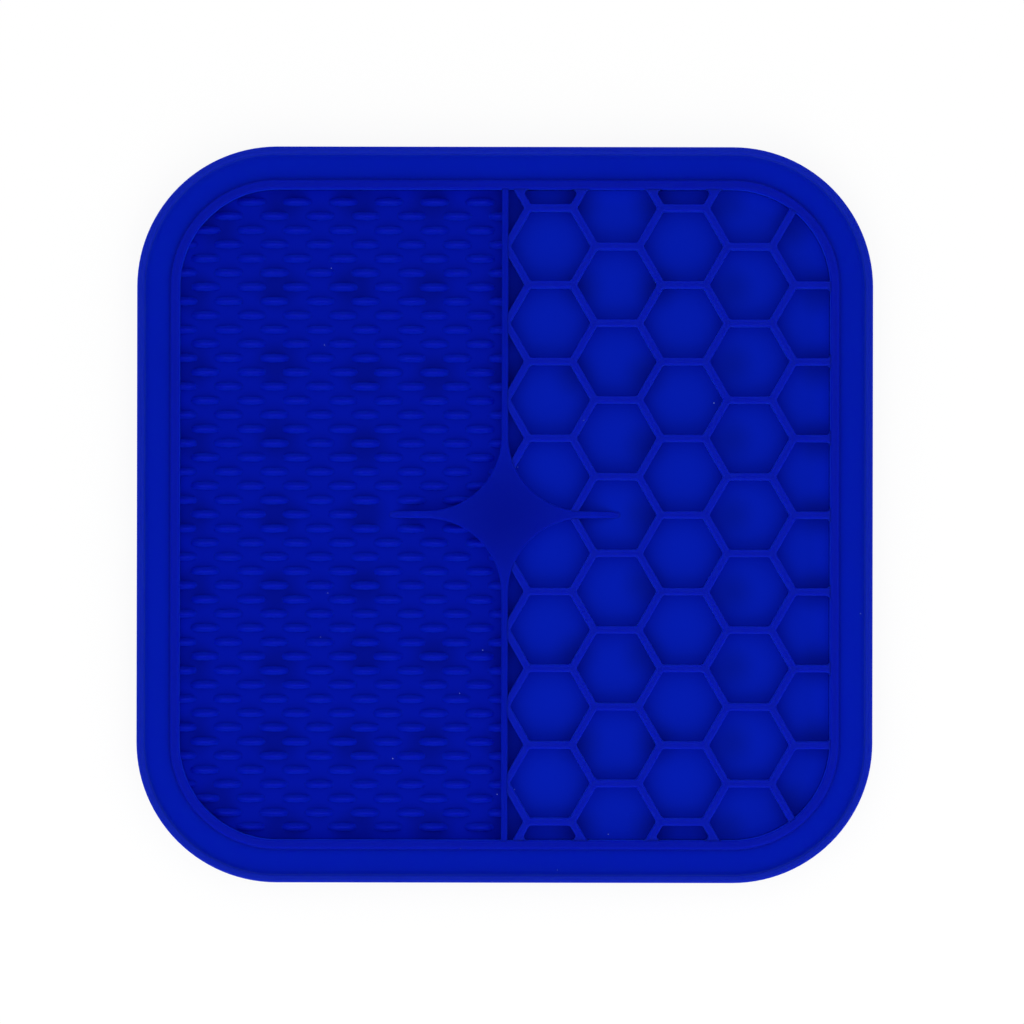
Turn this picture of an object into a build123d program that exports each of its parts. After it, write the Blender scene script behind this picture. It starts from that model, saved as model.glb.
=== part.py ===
from build123d import *
import os
from math import ceil, floor, sqrt

# A square silicone lick mat, in millimetres. Its left half carries staggered ridges and its right half a
# honeycomb. The origin lies under the middle of the mat, on the plane of the suction cups' lips. X runs
# towards the honeycomb half, Y towards the back edge and Z up.

os.makedirs("parts", exist_ok=True)

# Outline of the mat
mat_size = 200.0
corner_radius = 38.1

# Widths of the rim, from the outer edge inwards
bead_width = 2.1
gutter_width = 7.05
wall_thickness = 2.35

# Heights, from the floor that the mat stands on upwards
cup_height = 2.8
sheet_thickness = 1.8
wall_height = 5.0
bead_stand = 0.4
bead_height = 4.4
gutter_depth = 2.0
gutter_rise = 0.6
flange_thickness = 1.8

# Divider, and the cross rib that makes the star with it
divider_width = 1.7
divider_height = 4.8
cross_width = 1.9
star_radius = 20.5
ramp_length = 11.6
ramp_tip = 0.5

# Staggered ridges
ridge_length = 8.2
ridge_width = 2.5
ridge_height = 2.3
ridge_draft = 14.0
ridge_column_pitch = 12.46
ridge_row_pitch = 3.87
ridge_start = 0.6

# Honeycomb ribs
honeycomb_pitch = 20.87
honeycomb_start = 0.3
rib_base_width = 2.1
rib_top_width = 1.7
rib_height = 4.6

# Suction cups
cup_radius = 7.2
cup_neck_radius = 3.8
cup_lip_width = 0.6
cup_edge_thickness = 0.6
cup_hollow = 1.5
cup_edge_inset = 5.05
cup_ring_step = 23.8
cup_pitch = 20.1

# Rounded and bevelled edges, each no more than its wall allows
wall_round = min(0.6, wall_thickness / 3)
bead_round = min(0.8, bead_width / 2.5)
sheet_round = min(0.8, sheet_thickness / 2)
divider_round = min(0.5, divider_width / 3, cross_width / 3)
ridge_bevel = 0.3 * ridge_width
rib_chamfer = min(0.4, rib_top_width / 3)

# Levels and distances that follow from these
sheet_bottom = cup_height
field_floor = sheet_bottom + sheet_thickness
wall_top = field_floor + wall_height
gutter_floor = wall_top - gutter_depth
bead_bottom = wall_top + bead_stand - bead_height
bead_inner = mat_size / 2 - bead_width
wall_outer = bead_inner - gutter_width
field_half = wall_outer - wall_thickness
straight_half = mat_size / 2 - corner_radius
star_reach = star_radius + max(cross_width, divider_width)
ramp_reach = star_reach + ramp_length


def corner_at(half):
    """The corner radius of the rim's outline at a distance from the middle, concentric with the outer edge."""
    return corner_radius - (mat_size / 2 - half)


def rim_path(half):
    """The rim's closed outline at a distance from the middle, from the middle of the right edge round."""
    radius = corner_at(half)
    with BuildLine() as outline:
        FilletPolyline(
            (half, 0),
            (half, half),
            (-half, half),
            (-half, -half),
            (half, -half),
            (half, 0),
            radius=[0, radius, radius, radius, radius],
        )
    return outline.wire()


def rounded_square(half, mode=Mode.ADD):
    """The rim's outline at a distance from the middle, as a face of the sketch in progress."""
    return RectangleRounded(2 * half, 2 * half, corner_at(half), mode=mode)


# Flat web under the whole field
with BuildPart() as base_sheet:
    with BuildSketch(Plane.XY.offset(sheet_bottom)):
        rounded_square(wall_outer)
    extrude(amount=sheet_thickness)
    fillet(base_sheet.faces().sort_by(Axis.Z)[0].edges(), sheet_round)

# Wall that encloses the field
with BuildPart() as border_wall:
    with BuildSketch(Plane.XY.offset(field_floor)):
        rounded_square(wall_outer)
        rounded_square(field_half, mode=Mode.SUBTRACT)
    extrude(amount=wall_height)
    fillet(border_wall.faces().sort_by(Axis.Z)[-1].edges(), wall_round)

# Thin flange outside the wall, whose top is the shallow gutter
with BuildPart() as gutter_flange:
    with BuildSketch(Plane.XZ):
        with BuildLine():
            Polyline(
                (wall_outer, gutter_floor),
                (wall_outer, gutter_floor - flange_thickness),
                (bead_inner, gutter_floor - flange_thickness + gutter_rise),
                (bead_inner, gutter_floor + gutter_rise),
                close=True,
            )
        make_face()
    sweep(path=rim_path(wall_outer))

# Rounded lip on the flange's outer edge
with BuildPart() as rim_bead:
    with BuildSketch(Plane.XZ):
        with Locations((bead_inner + bead_width / 2, bead_bottom + bead_height / 2)):
            RectangleRounded(bead_width, bead_height, bead_round)
    sweep(path=rim_path(bead_inner))

# Star where the divider and the cross rib meet, with hollow sides
with BuildSketch() as star_plan:
    Rectangle(divider_width, 2 * star_reach)
    Rectangle(2 * star_reach, cross_width)
    fillet(star_plan.vertices().sort_by_distance((0, 0))[:4], star_radius)

with BuildPart() as centre_star:
    with BuildSketch(Plane.XY.offset(field_floor)):
        add(star_plan.sketch)
    extrude(amount=divider_height)
    star_top = centre_star.faces().sort_by(Axis.Z)[-1]
    fillet(star_top.edges().filter_by(GeomType.CIRCLE), divider_round)

# Two straight lengths of the divider, from the star to the wall
with BuildPart() as divider:
    with BuildSketch(Plane.XZ.offset(star_reach)) as divider_section:
        with Locations((0, field_floor + divider_height / 2)):
            Rectangle(divider_width, divider_height)
        fillet(divider_section.vertices().group_by(Axis.Z)[-1], divider_round)
    extrude(amount=field_half - star_reach)
    mirror(about=Plane.XZ)

# Ends of the cross rib, which slope down to the floor
with BuildPart() as star_ramps:
    with BuildSketch(Plane.XZ):
        with BuildLine():
            Polyline(
                (star_reach, field_floor),
                (ramp_reach, field_floor),
                (ramp_reach, field_floor + ramp_tip),
                (star_reach, field_floor + divider_height),
                close=True,
            )
        make_face()
    extrude(amount=cross_width / 2, both=True)
    mirror(about=Plane.YZ)


def half_field(side):
    """The plan of the field's left (-1) or right (1) half, less the divider, the star and its ramps."""
    half_width = field_half - divider_width / 2
    with BuildSketch() as plan:
        rounded_square(field_half)
        with Locations((side * (field_half - half_width / 2), 0)):
            Rectangle(half_width, 2 * field_half, mode=Mode.INTERSECT)
        Rectangle(2 * ramp_reach, cross_width, mode=Mode.SUBTRACT)
        add(star_plan.sketch, mode=Mode.SUBTRACT)
    return plan.sketch


def worth_moulding(solids, least_width):
    """The solids without the scraps that the field's edge leaves, which are too narrow to mould."""
    sizes = [(solid, solid.bounding_box().size) for solid in solids]
    return [solid for solid, size in sizes if min(size.X, size.Y) > least_width]


# One ridge, a tapered grain with bevelled ends
with BuildPart() as ridge:
    with BuildSketch(Plane.XY.offset(field_floor)) as ridge_plan:
        Rectangle(ridge_length, ridge_width)
        chamfer(ridge_plan.vertices(), ridge_bevel)
    extrude(amount=ridge_height, taper=ridge_draft)

# Every second row of ridges is shifted by half a pitch
ridge_rows = floor(field_half / ridge_row_pitch)
ridge_columns = ceil(field_half / ridge_column_pitch)
ridge_spots = [
    (-ridge_start - (column + (row + 1) % 2 / 2) * ridge_column_pitch, row * ridge_row_pitch)
    for row in range(-ridge_rows, ridge_rows + 1)
    for column in range(ridge_columns)
]



def meets_an_edge(spot):
    """Whether a ridge at a spot may reach the wall, the divider, the star or a ramp, and so has to be cut."""
    far_x, far_y = abs(spot[0]) + ridge_length / 2, abs(spot[1]) + ridge_width / 2
    near_x, near_y = far_x - ridge_length, far_y - ridge_width
    wall = max(far_x, far_y) > field_half or min(far_x, far_y) > straight_half
    star = near_x < ramp_reach and near_y < star_reach
    return wall or star or near_x < divider_width / 2


with BuildPart() as cut_ridges:
    with Locations(*filter(meets_an_edge, ridge_spots)):
        add(ridge.part)
    with BuildSketch(Plane.XY.offset(field_floor)):
        add(half_field(-1))
    extrude(amount=ridge_height, mode=Mode.INTERSECT)

with BuildPart() as lick_ridges:
    with Locations(*[spot for spot in ridge_spots if not meets_an_edge(spot)]):
        add(ridge.part)
    add(worth_moulding(cut_ridges.solids(), ridge_width / 2))

# One honeycomb rib along X, with ends mitred to meet two others at 120 degrees
rib_length = honeycomb_pitch / sqrt(3)
rib_half_width = rib_base_width / 2
mitre = rib_half_width / sqrt(3)
with BuildPart() as rib:
    with BuildSketch(Plane.YZ) as rib_section:
        with BuildLine():
            Polyline(
                (-rib_half_width, field_floor),
                (rib_half_width, field_floor),
                (rib_top_width / 2, field_floor + rib_height),
                (-rib_top_width / 2, field_floor + rib_height),
                close=True,
            )
        make_face()
        chamfer(rib_section.vertices().group_by(Axis.Z)[-1], rib_chamfer)
    extrude(amount=rib_length / 2, both=True)
    with BuildSketch(Plane.XY.offset(field_floor)):
        with BuildLine():
            Polyline(
                (-rib_length / 2, 0),
                (mitre - rib_length / 2, -rib_half_width),
                (rib_length / 2 - mitre, -rib_half_width),
                (rib_length / 2, 0),
                (rib_length / 2 - mitre, rib_half_width),
                (mitre - rib_length / 2, rib_half_width),
                close=True,
            )
        make_face()
    extrude(amount=rib_height, mode=Mode.INTERSECT)

# Places of the ribs round each cell, column by column: below it, and on its two left sides
column_pitch = honeycomb_pitch * sqrt(3) / 2
honeycomb_columns = ceil((field_half - honeycomb_start) / column_pitch)
honeycomb_rows = ceil(field_half / honeycomb_pitch)
slant_angle = 60
cross_places = []
rising_places = []
falling_places = []
for column in range(honeycomb_columns):
    cell_x = honeycomb_start + rib_length + column * column_pitch
    slant_x = cell_x - 3 / 4 * rib_length
    for row in range(-honeycomb_rows, honeycomb_rows + 1):
        cell_y = (row + (column + 1) % 2 / 2) * honeycomb_pitch
        cross_places.append(Location((cell_x, cell_y - honeycomb_pitch / 2, 0)))
        rising_places.append(Location((slant_x, cell_y + honeycomb_pitch / 4, 0), (0, 0, slant_angle)))
        falling_places.append(Location((slant_x, cell_y - honeycomb_pitch / 4, 0), (0, 0, -slant_angle)))


def honeycomb_ribs(places):
    """Ribs at the given places, cut to the right half of the field."""
    with BuildPart() as cut_ribs:
        with Locations(*places):
            add(rib.part)
        with BuildSketch(Plane.XY.offset(field_floor)):
            add(half_field(1))
        extrude(amount=rib_height, mode=Mode.INTERSECT)
    with BuildPart() as ribs:
        add(worth_moulding(cut_ribs.solids(), rib_half_width))
    return ribs


honeycomb_cross_ribs = honeycomb_ribs(cross_places)
honeycomb_rising_ribs = honeycomb_ribs(rising_places)
honeycomb_falling_ribs = honeycomb_ribs(falling_places)

# One suction cup, standing on its lip, with its neck against the sheet
with BuildPart() as cup:
    with BuildSketch(Plane.XZ):
        with BuildLine():
            Polyline((0, cup_hollow), (0, cup_height), (cup_neck_radius, cup_height))
            SagittaArc((cup_neck_radius, cup_height), (cup_radius, cup_edge_thickness), cup_edge_thickness / 2)
            Polyline((cup_radius, cup_edge_thickness), (cup_radius, 0), (cup_radius - cup_lip_width, 0))
            TangentArc((0, cup_hollow), (cup_radius - cup_lip_width, 0), tangent=(1, 0))
        make_face()
    revolve(axis=Axis.Z)


def suction_cups(half, pitch, each_way, corner):
    """A square ring of cups: each side's cups either way from its middle, and one cup at each corner."""
    side = [(step * pitch, half) for step in range(-each_way, each_way + 1)]
    spots = [(corner, corner), (-corner, corner), (-corner, -corner), (corner, -corner)]
    for x, y in side:
        spots += [(x, y), (x, -y), (y, x), (-y, x)]
    with BuildPart() as ring:
        with Locations(*spots):
            add(cup.part)
    return ring


# The outer ring follows the sheet's rounded edge, and the two inner rings are square
outer_ring = wall_outer - cup_edge_inset
middle_ring = outer_ring - cup_ring_step
inner_ring = middle_ring - cup_ring_step
outer_corner = straight_half + corner_at(outer_ring) / sqrt(2)
middle_steps = round(middle_ring / cup_pitch)
inner_steps = round(inner_ring / cup_pitch)
outer_suction_cups = suction_cups(outer_ring, cup_pitch, floor(straight_half / cup_pitch), outer_corner)
middle_suction_cups = suction_cups(middle_ring, middle_ring / middle_steps, middle_steps - 1, middle_ring)
inner_suction_cups = suction_cups(inner_ring, inner_ring / inner_steps, inner_steps - 1, inner_ring)

pieces = {
    "base_sheet": base_sheet,
    "border_wall": border_wall,
    "gutter_flange": gutter_flange,
    "rim_bead": rim_bead,
    "centre_star": centre_star,
    "divider": divider,
    "star_ramps": star_ramps,
    "lick_ridges": lick_ridges,
    "honeycomb_cross_ribs": honeycomb_cross_ribs,
    "honeycomb_rising_ribs": honeycomb_rising_ribs,
    "honeycomb_falling_ribs": honeycomb_falling_ribs,
    "outer_suction_cups": outer_suction_cups,
    "middle_suction_cups": middle_suction_cups,
    "inner_suction_cups": inner_suction_cups,
}
for name, piece in pieces.items():
    piece.part.label = name
    export_step(piece.part, f"parts/{name}.step")
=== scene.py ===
"""Dresses the lick mat: a blue silicone square with a rim, a star, ridges, a honeycomb and suction cups."""

import logging
import math
from dataclasses import dataclass, field
from enum import Enum
from typing import Sequence

import bmesh
import bpy
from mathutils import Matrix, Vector
from mathutils.geometry import delaunay_2d_cdt


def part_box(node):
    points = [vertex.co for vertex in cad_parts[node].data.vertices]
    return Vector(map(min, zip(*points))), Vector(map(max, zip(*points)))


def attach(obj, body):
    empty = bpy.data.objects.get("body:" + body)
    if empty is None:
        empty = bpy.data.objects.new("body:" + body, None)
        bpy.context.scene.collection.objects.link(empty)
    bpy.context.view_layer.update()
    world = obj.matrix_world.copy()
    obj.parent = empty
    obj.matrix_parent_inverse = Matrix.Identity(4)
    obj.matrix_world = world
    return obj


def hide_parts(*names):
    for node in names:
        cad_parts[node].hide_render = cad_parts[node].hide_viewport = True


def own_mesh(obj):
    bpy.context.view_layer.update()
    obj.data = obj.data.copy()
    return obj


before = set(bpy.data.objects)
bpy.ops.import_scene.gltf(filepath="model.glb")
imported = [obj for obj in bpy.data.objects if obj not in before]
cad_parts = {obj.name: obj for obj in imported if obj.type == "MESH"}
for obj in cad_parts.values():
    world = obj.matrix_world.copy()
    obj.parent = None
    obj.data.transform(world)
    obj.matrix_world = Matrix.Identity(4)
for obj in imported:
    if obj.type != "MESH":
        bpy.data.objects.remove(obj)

LOG = logging.getLogger("lick_mat")
MM = 0.001
MAT_BODY = "mat"
CUP_RADIUS = 7.2 * MM
HEX_SIDES = 6
HEX_TURN = 60
COS_30 = math.cos(math.radians(30))
TAN_30 = math.tan(math.radians(30))
CAP_INSIDE = 1
CAP_MERGE = 1e-6
MIX_SHARE, MIX_FIRST, MIX_SECOND, MIX_RESULT = 0, 6, 7, 2

Point = tuple[float, float]
Corner = tuple[float, float, float]
Place = tuple[float, float, float]
Ring = list[Place]
Colour = tuple[float, float, float]
Label = str | int
Socket = bpy.types.NodeSocket


class Half(Enum):
    """The two halves of the licking field, by the sign of X."""

    RIDGES = -1
    HONEYCOMB = 1


class Cut(Enum):
    """The ways to cut one mesh by another, each with the input that takes the first mesh."""

    DIFFERENCE = "Mesh 1"
    INTERSECT = "Mesh 2"


def fillet_outline(corners: Sequence[Corner], steps: int) -> list[Point]:
    """Rounds the corners of a closed outline.

    Args:
        corners: Each corner's two coordinates and its radius, which may be 0.
        steps: The number of chords that each rounded corner is divided into.

    Returns:
        The outline's points in order.
    """
    points: list[Point] = []
    count = len(corners)
    for index, (x, y, radius) in enumerate(corners):
        if radius <= 0:
            points.append((x, y))
            continue
        here = Vector((x, y))
        back = (Vector(corners[index - 1][:2]) - here).normalized()
        ahead = (Vector(corners[(index + 1) % count][:2]) - here).normalized()
        half_angle = back.angle(ahead) / 2
        centre = here + (back + ahead).normalized() * (radius / math.sin(half_angle))
        first = here + back * (radius / math.tan(half_angle)) - centre
        turn = math.pi - 2 * half_angle
        sign = 1 if back.x * ahead.y - back.y * ahead.x < 0 else -1
        for step in range(steps + 1):
            angle = sign * turn * step / steps
            across = first.x * math.cos(angle) - first.y * math.sin(angle)
            along = first.x * math.sin(angle) + first.y * math.cos(angle)
            points.append(tuple(centre + Vector((across, along))))
    return points


def arc_points(centre: Point, radius: float, start: float, end: float, steps: int) -> list[Point]:
    """Points on an arc, both ends among them, with its angles in degrees."""
    angles = [math.radians(start + (end - start) * step / steps) for step in range(steps + 1)]
    return [(centre[0] + radius * math.cos(a), centre[1] + radius * math.sin(a)) for a in angles]


def quarter_round(radius: float, steps: int) -> list[Point]:
    """The way round a quarter of a circle, from one straight side to the other.

    Args:
        radius: The radius of the rounding.
        steps: The number of chords in it.

    Returns:
        At each point, the distance left to the second side and the distance gone from the first.
    """
    angles = [math.pi / 2 * step / steps for step in range(steps + 1)]
    return [(radius * (1 - math.sin(a)), radius * (1 - math.cos(a))) for a in angles]


def heading(degrees: float) -> Vector:
    """The unit vector that points that way in plan."""
    return Vector((math.cos(math.radians(degrees)), math.sin(math.radians(degrees))))


def holds_point(outline: Sequence[Vector], point: Vector) -> bool:
    """Tells whether a point is inside an outline.

    Args:
        outline: The outline's points in order.
        point: The point to test.

    Returns:
        True where a line from the point crosses the outline an odd number of times.
    """
    inside = False
    for start, end in zip(outline, [*outline[1:], outline[0]]):
        if (start.y > point.y) != (end.y > point.y):
            share = (point.y - start.y) / (end.y - start.y)
            inside ^= point.x < start.x + share * (end.x - start.x)
    return inside


def level_ring(outline: Sequence[Point], height: float) -> Ring:
    """The outline's points, all at one height."""
    return [(x, y, height) for x, y in outline]


def placed(name: str, data: bpy.types.ID) -> bpy.types.Object:
    """Puts a new object into the scene, at the origin.

    Args:
        name: The object's name.
        data: Its mesh, curve, lamp or camera.

    Returns:
        The object.
    """
    made = bpy.data.objects.new(name, data)
    bpy.context.scene.collection.objects.link(made)
    return made


def ring_object(name: str, rings: Sequence[Ring]) -> bpy.types.Object:
    """Skins a closed solid over rings of equal count.

    Args:
        name: The object's name.
        rings: The rings in order, counter-clockwise seen from above, with the solid on their inner side
            on the way up.

    Returns:
        The solid, with both end rings capped.
    """
    mesh = bpy.data.meshes.new(name)
    form = bmesh.new()
    levels = [[form.verts.new(point) for point in ring] for ring in rings]
    count = len(rings[0])
    for lower, upper in zip(levels, levels[1:]):
        for index in range(count):
            after = (index + 1) % count
            form.faces.new((lower[index], lower[after], upper[after], upper[index]))
    for level, order in ((levels[0], -1), (levels[-1], 1)):
        flat = [vert.co.xy / MM for vert in level]
        whole = [list(range(count))]
        for corners in delaunay_2d_cdt(flat, [], whole, CAP_INSIDE, CAP_MERGE, False)[2]:
            middle = sum((flat[index] for index in corners), Vector((0.0, 0.0))) / 3
            if not holds_point(flat, middle):
                continue
            face = form.faces.new([level[index] for index in corners])
            face.normal_update()
            if face.normal.z * order < 0:
                face.normal_flip()
    open_edges = sum(not edge.is_manifold for edge in form.edges)
    if open_edges:
        LOG.warning("%s: %d open edges", name, open_edges)
    form.to_mesh(mesh)
    form.free()
    return placed(name, mesh)


def joined(name: str, solids: Sequence[bpy.types.Object]) -> bpy.types.Object:
    """Puts separate solids into one mesh.

    Args:
        name: The new object's name.
        solids: The solids, which are removed.

    Returns:
        The object that holds them all.
    """
    form = bmesh.new()
    for solid in solids:
        form.from_mesh(solid.data)
        bpy.data.objects.remove(solid)
    mesh = bpy.data.meshes.new(name)
    form.to_mesh(mesh)
    form.free()
    return placed(name, mesh)


def profile_curve(name: str, points: Sequence[Point]) -> bpy.types.Object:
    """A closed flat curve for Geometry Nodes to sweep.

    Args:
        name: The curve's name.
        points: The points that it goes through, with X outwards and Y up.

    Returns:
        The curve's object.
    """
    curve = bpy.data.curves.new(name, "CURVE")
    curve.dimensions = "3D"
    spline = curve.splines.new("POLY")
    spline.points.add(len(points) - 1)
    for target, (x, y) in zip(spline.points, points):
        target.co = (x, -y, 0.0, 1.0)
    spline.use_cyclic_u = True
    return placed(name, curve)


def smooth_by_angle(piece: bpy.types.Object, degrees: float) -> None:
    """Shades the piece smooth, apart from edges that fold by more than the angle."""
    piece.data.polygons.foreach_set("use_smooth", [True] * len(piece.data.polygons))
    piece.data.set_sharp_from_angle(angle=math.radians(degrees))


def set_on_body(piece: bpy.types.Object, body: str, nodes: Sequence[str]) -> bpy.types.Object:
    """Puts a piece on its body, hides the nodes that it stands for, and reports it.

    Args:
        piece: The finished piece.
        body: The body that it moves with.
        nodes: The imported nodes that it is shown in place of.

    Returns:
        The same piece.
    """
    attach(piece, body)
    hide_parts(*nodes)
    LOG.info("%s: %d faces on %s", piece.name, len(piece.data.polygons), body)
    return piece


class NodeBench:
    """Adds nodes to a tree and links them, with short calls for arithmetic."""

    def __init__(self, tree: bpy.types.NodeTree) -> None:
        """Keeps the tree that the nodes go into."""
        self.tree = tree

    def feed(self, socket: Socket, value: object) -> None:
        """Links an input to another socket, or sets its own value.

        Args:
            socket: The input.
            value: The socket to link, or the value to set.
        """
        if isinstance(value, Socket):
            self.tree.links.new(value, socket)
        else:
            socket.default_value = value

    def add(
        self, kind: str, inputs: dict[Label, object] | None = None, **settings: object
    ) -> bpy.types.Node:
        """Adds a node.

        Args:
            kind: The node's type.
            inputs: What its inputs are fed, by name or by number.
            settings: Its properties and their values.

        Returns:
            The node.
        """
        node = self.tree.nodes.new(kind)
        for name, value in settings.items():
            setattr(node, name, value)
        for label, value in (inputs or {}).items():
            self.feed(node.inputs[label], value)
        return node

    def math(self, operation: str, *values: object) -> Socket:
        """One step of arithmetic on sockets or numbers."""
        return self.add("ShaderNodeMath", dict(enumerate(values)), operation=operation).outputs[0]

    def split(self, vector: Socket) -> tuple[Socket, ...]:
        """The three parts of a vector."""
        return tuple(self.add("ShaderNodeSeparateXYZ", {0: vector}).outputs)

    def join(self, *parts: object) -> Socket:
        """A vector from its three parts."""
        return self.add("ShaderNodeCombineXYZ", dict(enumerate(parts))).outputs[0]

    def span(self, x: Socket, y: Socket) -> Socket:
        """The length of a flat vector from its two parts."""
        flat = self.join(x, y, 0.0)
        return self.add("ShaderNodeVectorMath", {0: flat}, operation="LENGTH").outputs["Value"]

    def remap(self, value: Socket, source: Point, target: Point = (0.0, 1.0)) -> Socket:
        """Eases a value from one range to another, and holds it at the ends.

        Args:
            value: The value to ease.
            source: The range that it is read over.
            target: What it becomes at the two ends of that range.

        Returns:
            The eased value.
        """
        labels = ("Value", "From Min", "From Max", "To Min", "To Max")
        inputs = dict(zip(labels, (value, *source, *target)))
        return self.add("ShaderNodeMapRange", inputs, interpolation_type="SMOOTHSTEP").outputs["Result"]

    def mix(self, share: Socket, first: object, second: object) -> Socket:
        """Goes from the first colour to the second as the share goes from 0 to 1."""
        inputs = {MIX_SHARE: share, MIX_FIRST: first, MIX_SECOND: second}
        return self.add("ShaderNodeMix", inputs, data_type="RGBA").outputs[MIX_RESULT]

    def dim(self, colour: Socket, share: Socket) -> Socket:
        """The colour at a share of its strength."""
        inputs = {0: colour, "Scale": share}
        return self.add("ShaderNodeVectorMath", inputs, operation="SCALE").outputs["Vector"]


class SurfaceBench(NodeBench):
    """The nodes of a finish, which reads Object coordinates."""

    def __init__(self, tree: bpy.types.NodeTree) -> None:
        """Keeps the tree and its coordinates."""
        super().__init__(tree)
        self.place = self.add("ShaderNodeTexCoord").outputs["Object"]

    def noise(self, scale: float, detail: float) -> Socket:
        """A noise value over the surface."""
        inputs = {"Vector": self.place, "Scale": scale, "Detail": detail}
        return self.add("ShaderNodeTexNoise", inputs).outputs["Fac"]


class GeometryBench(NodeBench):
    """A Geometry Nodes tree with named inputs, made into a plain mesh when it is run."""

    KINDS = {
        bpy.types.Object: "NodeSocketObject",
        bpy.types.Material: "NodeSocketMaterial",
        float: "NodeSocketFloat",
        int: "NodeSocketInt",
    }

    def __init__(self, name: str, values: dict[str, object]) -> None:
        """Makes the tree with one named input for each value.

        Args:
            name: The name of the tree and of the piece that it makes.
            values: Each input's name and the value that the modifier gives it.
        """
        super().__init__(bpy.data.node_groups.new(name, "GeometryNodeTree"))
        self.name = name
        self.values = values
        self.sockets = {}
        for label, value in values.items():
            kind = next(socket for owner, socket in self.KINDS.items() if isinstance(value, owner))
            made = self.tree.interface.new_socket(label, in_out="INPUT", socket_type=kind)
            self.sockets[label] = made.identifier
        self.tree.interface.new_socket("Geometry", in_out="OUTPUT", socket_type="NodeSocketGeometry")
        self.source = self.add("NodeGroupInput")

    def given(self, label: str) -> Socket:
        """The group's own input of that name."""
        return self.source.outputs[label]

    def template(self, label: str) -> Socket:
        """The geometry of the object that the input names."""
        inputs = {"Object": self.given(label)}
        return self.add("GeometryNodeObjectInfo", inputs, transform_space="ORIGINAL").outputs["Geometry"]

    def lattice(self, columns: str, rows: str, across: str, along: str) -> Socket:
        """A centred grid of points.

        Args:
            columns: The input with the number of points along X.
            rows: The input with the number of points along Y.
            across: The input with the distance between points along X.
            along: The input with the distance between points along Y.

        Returns:
            The grid's mesh.
        """
        inputs = {}
        for axis, count, pitch in (("X", columns, across), ("Y", rows, along)):
            spaces = self.math("SUBTRACT", self.given(count), 1.0)
            inputs[f"Size {axis}"] = self.math("MULTIPLY", spaces, self.given(pitch))
            inputs[f"Vertices {axis}"] = self.given(count)
        return self.add("GeometryNodeMeshGrid", inputs).outputs["Mesh"]

    def place(self) -> tuple[Socket, ...]:
        """The three coordinates of each point."""
        return self.split(self.add("GeometryNodeInputPosition").outputs[0])

    def set_place(self, points: Socket, label: str, vector: object) -> Socket:
        """Moves points to a position or by an offset, as the label says."""
        inputs = {"Geometry": points, label: vector}
        return self.add("GeometryNodeSetPosition", inputs).outputs["Geometry"]

    def real(self, geometry: Socket) -> Socket:
        """The geometry, with its instances made real."""
        return self.add("GeometryNodeRealizeInstances", {"Geometry": geometry}).outputs["Geometry"]

    def copies(self, points: Socket, template: str) -> Socket:
        """A real copy of the template at each point."""
        inputs = {"Points": points, "Instance": self.template(template)}
        return self.real(self.add("GeometryNodeInstanceOnPoints", inputs).outputs["Instances"])

    def boolean(self, cut: Cut, first: Socket, second: Socket) -> Socket:
        """Cuts one mesh by another.

        Args:
            cut: Whether the second mesh is taken away, or what both share is kept.
            first: The mesh to cut.
            second: The mesh to cut it by.

        Returns:
            What is left.
        """
        node = self.add("GeometryNodeMeshBoolean", operation=cut.name, solver="MANIFOLD")
        self.feed(node.inputs[cut.value], first)
        self.feed(node.inputs["Mesh 2"], second)
        return node.outputs["Mesh"]

    def run(self, shape: Socket) -> bpy.types.Object:
        """Ends the tree, runs it once and keeps a plain mesh.

        Args:
            shape: The geometry that the tree has made.

        Returns:
            The piece, with its material and no modifier.
        """
        inputs = {"Geometry": self.real(shape), "Material": self.given("Finish")}
        dressed = self.add("GeometryNodeSetMaterial", inputs)
        self.add("NodeGroupOutput", {"Geometry": dressed.outputs["Geometry"]})
        host = placed(self.name, bpy.data.meshes.new(self.name))
        modifier = host.modifiers.new(self.name, "NODES")
        modifier.node_group = self.tree
        for label, value in self.values.items():
            modifier[self.sockets[label]] = value
        evaluated = host.evaluated_get(bpy.context.evaluated_depsgraph_get())
        made = bpy.data.meshes.new_from_object(evaluated)
        host.modifiers.clear()
        host.data = made
        host.data.name = self.name
        for value in self.values.values():
            if isinstance(value, bpy.types.Object):
                bpy.data.objects.remove(value)
        return host


@dataclass(frozen=True)
class CupRing:
    """One square ring of suction cups below the sheet, in metres."""

    node: str
    half: float
    pitch: float
    each_way: int
    corner: float

    @classmethod
    def from_frame(cls, node: str, pitch: float, each_way: int, corner: float) -> "CupRing":
        """Reads a ring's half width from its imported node.

        Args:
            node: The node's name.
            pitch: The distance between the cups of a side.
            each_way: The number of cups on each side of a side's middle cup, without the corners.
            corner: How far a corner cup stands from the middle along each axis.

        Returns:
            The ring.
        """
        return cls(node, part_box(node)[1][0] - CUP_RADIUS, pitch, each_way, corner)


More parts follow.
